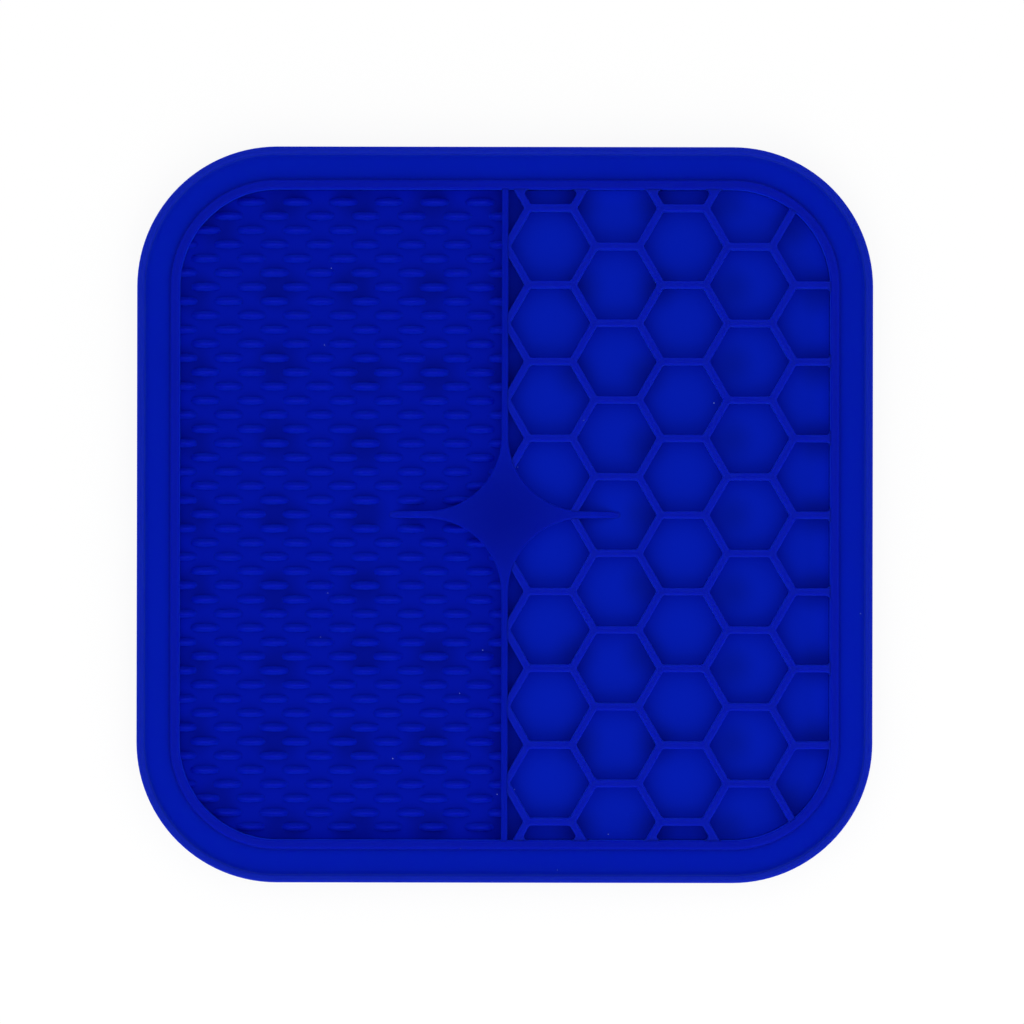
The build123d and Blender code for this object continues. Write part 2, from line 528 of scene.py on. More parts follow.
@dataclass(frozen=True)
class MatPlan:
    """The plan and the levels that the pieces share, in metres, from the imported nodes' boxes."""

    outer_half: float
    bead_inner: float
    wall_outer: float
    field_half: float
    sheet_bottom: float
    floor: float
    wall_top: float
    bead_bottom: float
    bead_top: float
    gutter_bottom: float
    gutter_top: float
    divider_half: float
    cross_half: float
    star_reach: float
    star_top: float
    ramp_reach: float
    ridge_top: float
    rib_top: float
    outer_corner: float = 38.1 * MM

    @classmethod
    def from_frame(cls) -> "MatPlan":
        """Reads the plan from the frame.

        Returns:
            The plan.
        """
        sheet, wall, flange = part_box("base_sheet"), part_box("border_wall"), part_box("gutter_flange")
        bead, divider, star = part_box("rim_bead"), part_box("divider"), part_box("centre_star")
        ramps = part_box("star_ramps")
        return cls(
            outer_half=bead[1][0],
            bead_inner=flange[1][0],
            wall_outer=wall[1][0],
            field_half=divider[1][1],
            sheet_bottom=sheet[0][2],
            floor=sheet[1][2],
            wall_top=wall[1][2],
            bead_bottom=bead[0][2],
            bead_top=bead[1][2],
            gutter_bottom=flange[0][2],
            gutter_top=flange[1][2],
            divider_half=divider[1][0],
            cross_half=ramps[1][1],
            star_reach=star[1][0],
            star_top=star[1][2],
            ramp_reach=ramps[1][0],
            ridge_top=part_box("lick_ridges")[1][2],
            rib_top=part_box("honeycomb_cross_ribs")[1][2],
        )

    @property
    def field_corner(self) -> float:
        """The radius of the licking field's corners."""
        return self.outer_corner - (self.outer_half - self.field_half)

    @property
    def straight_half(self) -> float:
        """Half of a side's straight length, which all the rim's lines share."""
        return self.field_half - self.field_corner

    @property
    def star_radius(self) -> float:
        """The radius of the hollow arcs between the star's arms."""
        return self.star_reach - 2 * self.cross_half

    def half_field(
        self, half: Half, margin: float, ramp_room: Point = (0.0, 0.0), steps: int = 16
    ) -> list[Point]:
        """The outline of one half of the licking field.

        Args:
            half: The half that is wanted.
            margin: How far the outline goes into the walls round it.
            ramp_room: How far past the ramp's tip the outline stays away, and how far from its middle.
            steps: The number of chords in each arc.

        Returns:
            The outline, counter-clockwise seen from above.
        """
        side, cross = self.divider_half - margin, max(self.cross_half - margin, ramp_room[1])
        edge, straight = self.field_half + margin, self.straight_half
        corner, hollow = self.field_corner + margin, self.star_radius + margin
        across, along = self.divider_half + self.star_radius, self.cross_half + self.star_radius
        tip = self.ramp_reach - margin + ramp_room[0]
        outline = [(side, -edge)]
        outline += arc_points((straight, -straight), corner, -90, 0, steps)
        outline += arc_points((straight, straight), corner, 0, 90, steps)
        outline += [(side, edge)]
        star_arc = [(x, max(y, cross)) for x, y in arc_points((across, along), hollow, 180, 270, steps)]
        outline += star_arc
        outline += [(tip, cross), (tip, -cross)]
        outline += [(x, -y) for x, y in reversed(star_arc)]
        if half is Half.RIDGES:
            outline = [(-x, y) for x, y in reversed(outline)]
        return outline


@dataclass(frozen=True)
class SiliconeFinish:
    """Blue silicone straight from the mould, as one part of the mat shows it."""

    name: str
    blue: Colour = (0.0008, 0.0066, 0.33)
    mottle: float = 0.04
    mottle_scale: float = 55.0
    mottle_detail: float = 3.0
    polish_scale: float = 165.0
    fine_detail: float = 2.0
    roughness: float = 0.5
    roughness_spread: float = 0.12
    specular: float = 0.012
    scatter: float = 1.0
    scatter_depth: float = 1.8 * MM
    scatter_spread: Colour = (0.2, 0.4, 1.0)
    bloom: float = 0.15
    bloom_tint: Colour = (0.05, 0.15, 1.0)
    bloom_roughness: float = 0.35
    skin_scale: float = 1400.0
    skin_depth: float = 0.008 * MM
    dust: Colour = (0.20, 0.26, 0.62)
    dust_scale: float = 110.0
    dust_reach: float = 0.014

    def build(self) -> bpy.types.Material:
        """Makes the material.

        Returns:
            A material whose colour, gloss and fine skin come from Object coordinates.
        """
        material = bpy.data.materials.new(self.name)
        material.use_nodes = True
        bench = SurfaceBench(material.node_tree)
        looks = {
            "Base Color": self._with_dust(bench, self._colour(bench)),
            "Roughness": self._gloss(bench),
            "Normal": self._skin(bench),
            "Specular IOR Level": self.specular,
            "Subsurface Weight": self.scatter,
            "Subsurface Scale": self.scatter_depth,
            "Subsurface Radius": self.scatter_spread,
            "Sheen Weight": self.bloom,
            "Sheen Tint": (*self.bloom_tint, 1.0),
            "Sheen Roughness": self.bloom_roughness,
        }
        shader = material.node_tree.nodes["Principled BSDF"]
        for label, value in looks.items():
            bench.feed(shader.inputs[label], value)
        return material

    def _pigment(self, bench: SurfaceBench, blue: Colour) -> Socket:
        """A blue that is a little uneven.

        Args:
            bench: The finish's nodes.
            blue: The blue that it varies about.

        Returns:
            The colour.
        """
        weak = (*(part * (1 - self.mottle) for part in blue), 1.0)
        strong = (*(part * (1 + self.mottle) for part in blue), 1.0)
        return bench.mix(bench.noise(self.mottle_scale, self.mottle_detail), weak, strong)

    def _colour(self, bench: SurfaceBench) -> Socket:
        """The colour all over the part."""
        return self._pigment(bench, self.blue)

    def _with_dust(self, bench: SurfaceBench, colour: Socket) -> Socket:
        """Adds the few specks of lint that silicone picks up.

        Args:
            bench: The finish's nodes.
            colour: The clean colour.

        Returns:
            The colour with specks on it.
        """
        inputs = {"Vector": bench.place, "Scale": self.dust_scale}
        cells = bench.add("ShaderNodeTexVoronoi", inputs, feature="F1")
        speck = bench.math("LESS_THAN", cells.outputs["Distance"], self.dust_reach)
        return bench.mix(speck, colour, (*self.dust, 1.0))

    def _gloss(self, bench: SurfaceBench) -> Socket:
        """Satin that varies softly with the mould's polish."""
        ends = (self.roughness - self.roughness_spread, self.roughness + self.roughness_spread)
        return bench.remap(bench.noise(self.polish_scale, self.fine_detail), (0.0, 1.0), ends)

    def _skin(self, bench: SurfaceBench) -> Socket:
        """Adds the fine eggshell skin that the mould leaves.

        Args:
            bench: The finish's nodes.

        Returns:
            The surface's normal.
        """
        skin = bench.noise(self.skin_scale, self.fine_detail)
        inputs = {"Strength": 1.0, "Distance": self.skin_depth, "Height": skin}
        return bench.add("ShaderNodeBump", inputs).outputs["Normal"]


@dataclass(frozen=True)
class EdgeFinish(SiliconeFinish):
    """Silicone that changes with the distance from the licking field's edge."""

    plan: MatPlan = field(kw_only=True)

    def _past_edge(self, bench: SurfaceBench) -> Socket:
        """Measures from the licking field's edge.

        Args:
            bench: The finish's nodes.

        Returns:
            How far a place lies outside the edge, or inside as a negative distance.
        """
        x, y, _ = bench.split(bench.place)
        straight = self.plan.straight_half
        beyond = [bench.math("SUBTRACT", bench.math("ABSOLUTE", axis), straight) for axis in (x, y)]
        outside = [bench.math("MAXIMUM", axis, 0.0) for axis in beyond]
        return bench.math("SUBTRACT", bench.span(*outside), self.plan.field_corner)


@dataclass(frozen=True)
class RimFinish(EdgeFinish):
    """The rim's silicone: painted light on the wall's inner face, a painted glow in the thin gutter, a
    paler painted sheen on the lip, and the plain blue on the wall's top.
    """

    # face: the wall's inner face is painted much lighter, painted light that lifts the contact shade at the
    # field's edge
    face: Colour = (0.0004, 0.0100, 0.560)
    painted_face_span: Point = (0.0, 0.06 * MM)
    blue: Colour = (0.0016, 0.0074, 0.350)
    # gutter: painted light, lighter as if light came through the thin flange
    gutter: Colour = (0.0002, 0.0092, 0.412)
    # lip: paler and whiter, a painted sheen
    lip: Colour = (0.0040, 0.0150, 0.372)
    blend: float = 1.0 * MM

    def _colour(self, bench: SurfaceBench) -> Socket:
        """Colours the rim by the distance from the licking field's edge.

        Args:
            bench: The finish's nodes.

        Returns:
            The colour.
        """
        plan = self.plan
        away = self._past_edge(bench)
        wall, bead = plan.wall_outer - plan.field_half, plan.bead_inner - plan.field_half
        # The bands paint light: a lit inner face, a glowing gutter and a sheen on the lip.
        bands = (
            (self.painted_face_span, self.blue),
            ((wall, wall + self.blend), self.gutter),
            ((bead - self.blend / 2, bead), self.lip),
        )
        colour = self._pigment(bench, self.face)
        for span, blue in bands:
            colour = bench.mix(bench.remap(away, span), colour, self._pigment(bench, blue))
        return colour


@dataclass(frozen=True)
class RibFinish(SiliconeFinish):
    """The ribs' silicone, with painted light at the foot, which lifts the contact shade there."""

    foot_height: float = field(kw_only=True)
    crest_height: float = field(kw_only=True)
    blue: Colour = (0.0020, 0.0088, 0.350)
    # foot: much lighter than the crest, painted light at the rib's foot
    foot: Colour = (0.0003, 0.0110, 0.600)
    scatter_depth: float = 4.0 * MM

    def _colour(self, bench: SurfaceBench) -> Socket:
        """Blends from the foot colour to the crest colour by height, as painted light.

        Args:
            bench: The finish's nodes.

        Returns:
            The colour.
        """
        _, _, height = bench.split(bench.place)
        # Painted light: the colour changes with height from the foot to the crest.
        painted_light_by_height = bench.remap(height, (self.foot_height, self.crest_height))
        return bench.mix(painted_light_by_height, self._pigment(bench, self.foot), self._pigment(bench, self.blue))


@dataclass(frozen=True)
class RidgeFinish(RibFinish):
    """The ridges' silicone, with a painted highlight: paler and lighter on the crest than at the foot."""

    # blue: the crest colour, lighter and paler, a painted highlight
    blue: Colour = (0.0018, 0.0080, 0.395)
    foot: Colour = (0.0002, 0.0062, 0.360)
    scatter_depth: float = 0.5 * MM


@dataclass(frozen=True)
class SheetFinish(EdgeFinish):
    """The sheet's silicone, darker over a cup, with painted light along the wall, which lifts the contact
    shade there, and painted shade over the ridge half.
    """

    blue: Colour = (0.0004, 0.0098, 0.380)
    # The ridge half's colour is darker and purer blue: painted shade from the ridges over that half.
    ridge_half_painted_shade: Colour = (0.0001, 0.0052, 0.315)
    scatter: float = 0.0
    rings: tuple[CupRing, ...] = ()
    ridge_spot: Point = (2.2 * MM, 8.2 * MM)
    comb_spot: Point = (0.3 * MM, 8.2 * MM)
    spot_shade: float = 0.74
    half_seam: float = 1.0 * MM
    # Within this distance of the wall the floor is painted lighter, by the gain below: painted light.
    margin: float = 6.0 * MM
    painted_wall_light_gain: float = 1.18
    farthest: float = 1.0

    def _colour(self, bench: SurfaceBench) -> Socket:
        """Puts a soft dark spot over each cup, paints light along the wall and paints shade over the ridge
        half.

        Args:
            bench: The finish's nodes.

        Returns:
            The colour.
        """
        across, along, _ = bench.split(bench.place)
        x, y = bench.math("ABSOLUTE", across), bench.math("ABSOLUTE", along)
        outer, inner = bench.math("MAXIMUM", x, y), bench.math("MINIMUM", x, y)
        nearest: object = self.farthest
        for ring in self.rings:
            step = bench.math("ROUND", bench.math("DIVIDE", inner, ring.pitch))
            step = bench.math("MULTIPLY", bench.math("MINIMUM", step, float(ring.each_way)), ring.pitch)
            for far, near in ((ring.half, step), (ring.corner, ring.corner)):
                apart = bench.span(bench.math("SUBTRACT", outer, far), bench.math("SUBTRACT", inner, near))
                nearest = bench.math("MINIMUM", apart, nearest)
        # Painted light: the floor grows lighter towards the wall.
        gain = bench.remap(self._past_edge(bench), (-self.margin, 0.0), (1.0, self.painted_wall_light_gain))
        halves = []
        # The ridge half gets the darker colour, painted shade.
        for blue, spot in ((self.ridge_half_painted_shade, self.ridge_spot), (self.blue, self.comb_spot)):
            shade = bench.math("MULTIPLY", bench.remap(nearest, spot, (self.spot_shade, 1.0)), gain)
            halves.append(bench.dim(self._pigment(bench, blue), shade))
        right = bench.remap(across, (-self.half_seam, self.half_seam))
        return bench.mix(right, *halves)


@dataclass(frozen=True)
class StarFinish(SiliconeFinish):
    """The star's silicone, darkest in the middle, where it is thickest, with painted light low on its
    flanks.
    """

    top: float = field(kw_only=True)
    # The flank colour is much lighter: painted light low on the sides, where contact shade falls, over the
    # depths below.
    painted_flank_light: Colour = (0.0004, 0.0110, 0.620)
    flank_depths: Point = (1.2 * MM, 0.6 * MM)
    blue: Colour = (0.0010, 0.0068, 0.335)
    core: Colour = (0.0004, 0.0044, 0.272)
    core_reach: float = 19.0 * MM
    ramp: Colour = (0.0014, 0.0082, 0.372)
    ramp_span: Point = (16.0 * MM, 26.0 * MM)

    def _colour(self, bench: SurfaceBench) -> Socket:
        """Gives the star a soft dark middle, painted light low on its flanks, and paler ramps.

        Args:
            bench: The finish's nodes.

        Returns:
            The colour.
        """
        x, y, height = bench.split(bench.place)
        out = bench.remap(bench.span(x, y), (0.0, self.core_reach))
        arms = bench.mix(out, self._pigment(bench, self.core), self._pigment(bench, self.blue))
        # Painted light on the flanks below the top.
        deep, shallow = (self.top - depth for depth in self.flank_depths)
        painted_light_by_height = bench.remap(height, (deep, shallow))
        arms = bench.mix(painted_light_by_height, self._pigment(bench, self.painted_flank_light), arms)
        down = bench.remap(bench.math("ABSOLUTE", x), self.ramp_span)
        return bench.mix(down, arms, self._pigment(bench, self.ramp))


@dataclass
class Rim:
    """The wall, the gutter and the bead, swept as one section round the licking field."""

    plan: MatPlan
    finish: bpy.types.Material
    gutter_rise: float = 0.6 * MM
    wall_round: float = 0.6 * MM
    bead_round: float = 0.8 * MM
    crease_round: float = 1.2 * MM
    inner_round: float = 0.5 * MM
    foot_round: float = 0.1 * MM
    sunk: float = 0.1 * MM
    corner_chords: int = 28
    round_chords: int = 5
    crease_angle: float = 40.0

    def section(self) -> list[Point]:
        """Draws the section.

        Returns:
            Its points, with X outwards from the field's edge and Y up.
        """
        plan = self.plan
        wall, bead_in = plan.wall_outer - plan.field_half, plan.bead_inner - plan.field_half
        bead_out = plan.outer_half - plan.field_half
        high_in, low_out = plan.gutter_top - self.gutter_rise, plan.gutter_bottom + self.gutter_rise
        return fillet_outline(
            [
                (-self.foot_round, plan.floor - self.sunk, 0.0),
                (-self.foot_round - self.sunk / 2, plan.floor, 0.0),
                (0.0, plan.floor, self.foot_round),
                (0.0, plan.wall_top, self.wall_round),
                (wall, plan.wall_top, self.wall_round),
                (wall, high_in, self.inner_round),
                (bead_in, plan.gutter_top, self.crease_round),
                (bead_in, plan.bead_top, self.bead_round),
                (bead_out, plan.bead_top, self.bead_round),
                (bead_out, plan.bead_bottom, self.bead_round),
                (bead_in, plan.bead_bottom, self.inner_round / 2),
                (bead_in, low_out, self.inner_round / 2),
                (wall, plan.gutter_bottom, self.inner_round),
                (wall, plan.floor - self.sunk, 0.0),
            ],
            self.round_chords,
        )

    def build(self) -> bpy.types.Object:
        """Sweeps the section round the field's edge.

        Returns:
            The finished piece.
        """
        bench = GeometryBench(
            "rim",
            {
                "Section": profile_curve("rim_section", self.section()),
                "Side": 2 * self.plan.field_half,
                "Corner": self.plan.field_corner,
                "Chords": self.corner_chords,
                "Finish": self.finish,
            },
        )
        sides = {"Width": bench.given("Side"), "Height": bench.given("Side")}
        square = bench.add("GeometryNodeCurvePrimitiveQuadrilateral", sides, mode="RECTANGLE")
        corners = {"Radius": bench.given("Corner"), "Count": bench.given("Chords")}
        corners["Curve"] = square.outputs["Curve"]
        rounded = bench.add("GeometryNodeFilletCurve", corners, mode="POLY")
        path = {"Curve": rounded.outputs["Curve"], "Profile Curve": bench.template("Section")}
        piece = bench.run(bench.add("GeometryNodeCurveToMesh", path).outputs["Mesh"])
        smooth_by_angle(piece, self.crease_angle)
        return set_on_body(piece, MAT_BODY, ("border_wall", "gutter_flange", "rim_bead"))


@dataclass
class DividerStar:
    """The divider with its four-armed star, and the cross rib's two ramps."""

    plan: MatPlan
    finish: bpy.types.Material
    ramp_tip: float = -0.4 * MM
    ramp_power: float = 1.7
    tip_taper: float = 0.85
    edge_round: float = 0.5 * MM
    round_steps: int = 4
    foot_round: float = 0.08 * MM
    foot_steps: int = 3
    sunk: float = 0.2 * MM
    ramp_steps: int = 6
    hollow_chords: int = 14
    crease_angle: float = 40.0

    def outline(self, inset: float) -> list[Point]:
        """Draws the outline in plan.

        Args:
            inset: How far the outline is moved inwards.

        Returns:
            The outline, counter-clockwise seen from above.
        """
        plan = self.plan
        side, cross = plan.divider_half - inset, plan.cross_half - inset
        hollow = plan.star_radius + inset
        across, along = plan.divider_half + plan.star_radius, plan.cross_half + plan.star_radius
        edge = plan.field_half + self.sunk
        tip = plan.ramp_reach - inset
        run = [across + (tip - across) * step / self.ramp_steps for step in range(1, self.ramp_steps)]
        right_up = [(x, cross * self.taper(x)) for x in (tip, *reversed(run))]
        right_up += arc_points((across, along), hollow, 270, 180, self.hollow_chords)
        right_up += [(side, edge)]
        left_up = [(-x, y) for x, y in reversed(right_up)]
        return right_up + left_up + [(-x, -y) for x, y in right_up + left_up]

    def ramp_share(self, x: float) -> float:
        """How far down a ramp a place is, from 0 at the star to 1 at the tip."""
        plan = self.plan
        return min(max((abs(x) - plan.star_reach) / (plan.ramp_reach - plan.star_reach), 0.0), 1.0)

    def taper(self, x: float) -> float:
        """The ramp's width there, as a share of the cross rib's."""
        return 1 - (1 - self.tip_taper) * self.ramp_share(x) ** 2

    def top(self, x: float) -> float:
        """The height of the top, which falls along the ramps."""
        fall = 1 - (1 - self.ramp_share(x)) ** self.ramp_power
        return self.plan.star_top - (self.plan.star_top - self.plan.floor - self.ramp_tip) * fall

    def build(self) -> bpy.types.Object:
        """Skins the star over its rings, from the foot to the rounded top.

        Returns:
            The finished piece.
        """
        floor, low = self.plan.floor, self.plan.floor - self.sunk
        rings = [level_ring(self.outline(-self.foot_round), low - self.sunk)]
        for outset, rise in quarter_round(self.foot_round, self.foot_steps):
            ring = []
            for x, y in self.outline(-outset):
                ring.append((x, y, max(min(floor + rise, self.top(x) - self.edge_round), low)))
            rings.append(ring)
        for drop, inset in quarter_round(self.edge_round, self.round_steps):
            rings.append([(x, y, max(self.top(x) - drop, low)) for x, y in self.outline(inset)])
        piece = ring_object("divider_star", rings)
        piece.data.materials.append(self.finish)
        smooth_by_angle(piece, self.crease_angle)
        return set_on_body(piece, MAT_BODY, ("centre_star", "divider", "star_ramps"))


@dataclass
class RidgeField:
    """The staggered short ridges of the left half."""

    plan: MatPlan
    finish: bpy.types.Material
    length: float = 8.2 * MM
    width: float = 2.5 * MM
    column_pitch: float = 12.46 * MM
    row_pitch: float = 3.87 * MM
    start: float = 0.6 * MM
    columns: int = 8
    rows: int = 45
    sides: int = 12
    margin: float = 0.25 * MM
    sunk: float = 0.15 * MM
    body_share: float = 0.92
    foot_share: float = 0.04
    round_steps: int = 5
    crest_step: float = 0.5
    end_slope: float = 3.4 * MM
    foot_power: float = 3.0
    crest_power: float = 2.6
    clear: float = 1.0 * MM
    crease_angle: float = 50.0

    def grain(self) -> bpy.types.Object:
        """Skins one ridge, a long soft mound with a small fillet at its foot.

        Returns:
            The ridge, at the origin.
        """
        floor, height = self.plan.floor, self.plan.ridge_top - self.plan.floor
        levels = [(-self.sunk / height, 1.0), (0.0, 1.0)]
        for step in range(self.round_steps + 1):
            size = 1 - step / (self.round_steps + self.crest_step)
            levels.append((self.foot_share + (1 - self.foot_share) * (1 - size**2), self.body_share * size))
        rings = []
        for share, size in levels:
            power = self.foot_power + (self.crest_power - self.foot_power) * max(share, 0.0)
            half_length = self.length / 2 - (1 - size) * self.end_slope
            ring = []
            for step in range(self.sides):
                angle = math.tau * step / self.sides
                x, y = math.cos(angle), math.sin(angle)
                x = math.copysign(abs(x) ** (2 / power), x) * half_length
                y = math.copysign(abs(y) ** (2 / power), y) * size * self.width / 2
                ring.append((x, y, floor + share * height))
            rings.append(ring)
        return ring_object("ridge_grain", rings)

    def build(self) -> bpy.types.Object:
        """Sets a ridge at each point of the staggered lattice, and trims them at the walls.

        Returns:
            The finished piece.
        """
        ramp_room = (self.length / 2, self.width / 2 + self.margin)
        outline = self.plan.half_field(Half.RIDGES, self.margin, ramp_room)
        heights = (self.plan.floor - self.clear, self.plan.wall_top + self.clear)
        space = ring_object("ridge_space", [level_ring(outline, height) for height in heights])
        bench = GeometryBench(
            "lick_ridges_soft",
            {
                "Ridge": self.grain(),
                "Space": space,
                "Columns": self.columns,
                "Rows": self.rows,
                "Column Pitch": self.column_pitch,
                "Row Pitch": self.row_pitch,
                "Start": self.start,
                "Finish": self.finish,
            },
        )
        points = bench.lattice("Columns", "Rows", "Column Pitch", "Row Pitch")
        _, along, _ = bench.place()
        row = bench.math("ROUND", bench.math("DIVIDE", along, bench.given("Row Pitch")))
        shifted = bench.math("FLOORED_MODULO", bench.math("ADD", row, 1.0), 2.0)
        spaces = bench.math("ADD", bench.math("SUBTRACT", bench.given("Columns"), 1.0), shifted)
        left = bench.math("MULTIPLY", bench.math("MULTIPLY", spaces, bench.given("Column Pitch")), -0.5)
        offset = bench.join(bench.math("SUBTRACT", left, bench.given("Start")), 0.0, 0.0)
        ridges = bench.copies(bench.set_place(points, "Offset", offset), "Ridge")
        piece = bench.run(bench.boolean(Cut.INTERSECT, ridges, bench.template("Space")))
        smooth_by_angle(piece, self.crease_angle)
        return set_on_body(piece, MAT_BODY, ("lick_ridges",))


@dataclass
class Honeycomb:
    """The honeycomb ribs of the right half, left standing between six-sided cells."""

    plan: MatPlan
    finish: bpy.types.Material
    pitch: float = 20.87 * MM
    start: float = 0.3 * MM
    columns: int = 6
    rows: int = 10
    base_half: float = 1.03 * MM
    top_half: float = 0.96 * MM
    crest_round: float = 0.35 * MM
    crest_steps: int = 4
    foot_round: float = 0.06 * MM
    foot_steps: int = 3
    cell_corner: float = 0.9 * MM
    cell_chords: int = 3
    wall_headings: tuple[int, ...] = (0, 90, -90)
    wall_corner: float = 1.1 * MM
    wall_chords: int = 5
    wall_lap: float = 0.01 * MM
    wall_cover: float = 0.3 * MM
    margin: float = 0.3 * MM
    sunk: float = 0.2 * MM
    clear: float = 1.0 * MM
    crease_angle: float = 40.0

    @property
    def column_pitch(self) -> float:
        """The distance between the middles of two columns."""
        return self.pitch * COS_30

    @property
    def first_column(self) -> float:
        """Where the first column's middle is, which the divider cuts off."""
        return self.start - self.pitch / 4 / COS_30

    def cell_outline(self, inset: float) -> list[Point]:
        """Draws a cell with rounded corners.

        Args:
            inset: How far its sides are from the ribs' middle lines.

        Returns:
            The outline about the cell's centre.
        """
        reach = (self.pitch / 2 - inset) / COS_30
        angles = [math.radians(HEX_TURN * side) for side in range(HEX_SIDES)]
        corners = [(reach * math.cos(a), reach * math.sin(a), self.cell_corner) for a in angles]
        return fillet_outline(corners, self.cell_chords)

    def levels(self) -> list[Point]:
        """Gives a cell a filleted foot, drafted sides and a flare over the rounded crests.

        Returns:
            Its inset and height at each level, from the bottom up.
        """
        floor, top = self.plan.floor, self.plan.rib_top
        levels = [(self.base_half + self.foot_round, floor - 2 * self.sunk)]
        for outset, rise in quarter_round(self.foot_round, self.foot_steps):
            levels.append((self.base_half + outset, floor + rise))
        for drop, inset in quarter_round(self.crest_round, self.crest_steps):
            levels.append((self.top_half - inset, top - drop))
        levels.append((self.top_half - self.crest_round, top + self.clear))
        return levels

    def cutter(self) -> bpy.types.Object:
        """The space of one cell."""
        rings = [level_ring(self.cell_outline(inset), height) for inset, height in self.levels()]
        return ring_object("honeycomb_cell", rings)

    def centres(self) -> list[Vector]:
        """Works out where the lattice sets the cells.

        Returns:
            The cells' centres.
        """
        centres = []
        for column in range(self.columns):
            x = self.first_column + column * self.column_pitch
            for step in range(self.rows):
                row = step - (self.rows - 1) / 2 + (column + 1) % 2 / 2
                centres.append(Vector((x, row * self.pitch)))
        return centres

    def wall_point(self, centre: Vector, faces: Sequence[Vector], inset: float, back: float) -> Vector:
        """The point that lies back from both a cell's side and a straight wall.

        Args:
            centre: The cell's centre.
            faces: The ways that the side and the wall face.
            inset: How far the side stands from its rib's middle line.
            back: The distance from both.

        Returns:
            The point in plan.
        """
        side, wall = faces
        far = self.pitch / 2 - inset - back
        near = self.plan.field_half - wall.dot(centre) - back
        spread = side.cross(wall)
        x = (far * wall.y - near * side.y) / spread
        y = (near * side.x - far * wall.x) / spread
        return Vector((x, y)) + centre

    def wall_fillet(self, centre: Vector, side: int, wall: int) -> bpy.types.Object | None:
        """Fills the corner between one side of a cell and a straight wall.

        Args:
            centre: The cell's centre.
            side: The cell's side, counted round from the one next to X.
            wall: The way that the wall faces from the middle of the mat, in degrees.

        Returns:
            The fillet, or None where the side doesn't reach the wall.
        """
        facing = HEX_TURN * side + HEX_TURN // 2
        turn = (wall - facing + 180) % 360 - 180
        if turn in (0, -180):
            return None
        faces = [heading(facing), heading(wall)]
        corner = self.wall_point(centre, faces, self.base_half, 0.0)
        reach = (self.pitch / 2 - self.base_half) * TAN_30 - self.wall_corner
        past_side = abs(faces[0].cross(corner - centre)) > reach
        past_wall = abs(faces[1].cross(corner)) > self.plan.straight_half
        near_divider = corner.x < self.plan.divider_half + 2 * self.wall_corner
        if past_side or past_wall or near_divider:
            return None
        levels = self.levels()
        levels[0] = (levels[0][0], levels[0][1] - self.sunk)
        levels[-1] = (levels[-1][0], levels[-1][1] + self.sunk)
        outwards = (faces[0] + faces[1]) * self.wall_cover
        rings = []
        for inset, height in levels:
            cover = self.wall_point(centre, faces, inset, 0.0) + outwards
            middle = self.wall_point(centre, faces, inset, self.wall_corner - self.wall_lap)
            arc = arc_points(tuple(middle), self.wall_corner, facing, facing + turn, self.wall_chords)
            outline = [tuple(cover), *arc]
            rings.append(level_ring(outline[::-1] if turn > 0 else outline, height))
        return ring_object("wall_fillet", rings)

    def wall_fillets(self) -> bpy.types.Object:
        """Makes the fillets between the ribs and the straight walls.

        Returns:
            All of them in one mesh.
        """
        tries = [
            self.wall_fillet(centre, side, wall)
            for centre in self.centres()
            for side in range(HEX_SIDES)
            for wall in self.wall_headings
        ]
        fillets = [fillet for fillet in tries if fillet]
        LOG.info("fillets where ribs meet the wall: %d", len(fillets))
        return joined("wall_fillets", fillets)

    def build(self) -> bpy.types.Object:
        """Cuts the cells out of a slab that fills the half field.

        Returns:
            The finished piece.
        """
        outline = self.plan.half_field(Half.HONEYCOMB, self.margin)
        heights = (self.plan.floor - self.sunk, self.plan.rib_top)
        slab = ring_object("honeycomb_slab", [level_ring(outline, height) for height in heights])
        bench = GeometryBench(
            "honeycomb",
            {
                "Cell": self.cutter(),
                "Slab": slab,
                "Wall Fillets": self.wall_fillets(),
                "Columns": self.columns,
                "Rows": self.rows,
                "Column Pitch": self.column_pitch,
                "Row Pitch": self.pitch,
                "First Column": self.first_column,
                "Finish": self.finish,
            },
        )
        points = bench.lattice("Columns", "Rows", "Column Pitch", "Row Pitch")
        across, _, _ = bench.place()
        pitch = bench.given("Column Pitch")
        half_run = bench.math("MULTIPLY", bench.math("SUBTRACT", bench.given("Columns"), 1.0), 0.5)
        column = bench.math("ADD", bench.math("DIVIDE", across, pitch), half_run)
        even = bench.math("FLOORED_MODULO", bench.math("ADD", bench.math("ROUND", column), 1.0), 2.0)
        right = bench.math("MULTIPLY_ADD", half_run, pitch, bench.given("First Column"))
        up = bench.math("MULTIPLY", bench.math("MULTIPLY", even, bench.given("Row Pitch")), 0.5)
        cells = bench.copies(bench.set_place(points, "Offset", bench.join(right, up, 0.0)), "Cell")
        spaces = bench.boolean(Cut.DIFFERENCE, cells, bench.template("Wall Fillets"))
        piece = bench.run(bench.boolean(Cut.DIFFERENCE, bench.template("Slab"), spaces))
        smooth_by_angle(piece, self.crease_angle)
        nodes = ("honeycomb_cross_ribs", "honeycomb_rising_ribs", "honeycomb_falling_ribs")
        return set_on_body(piece, MAT_BODY, nodes)


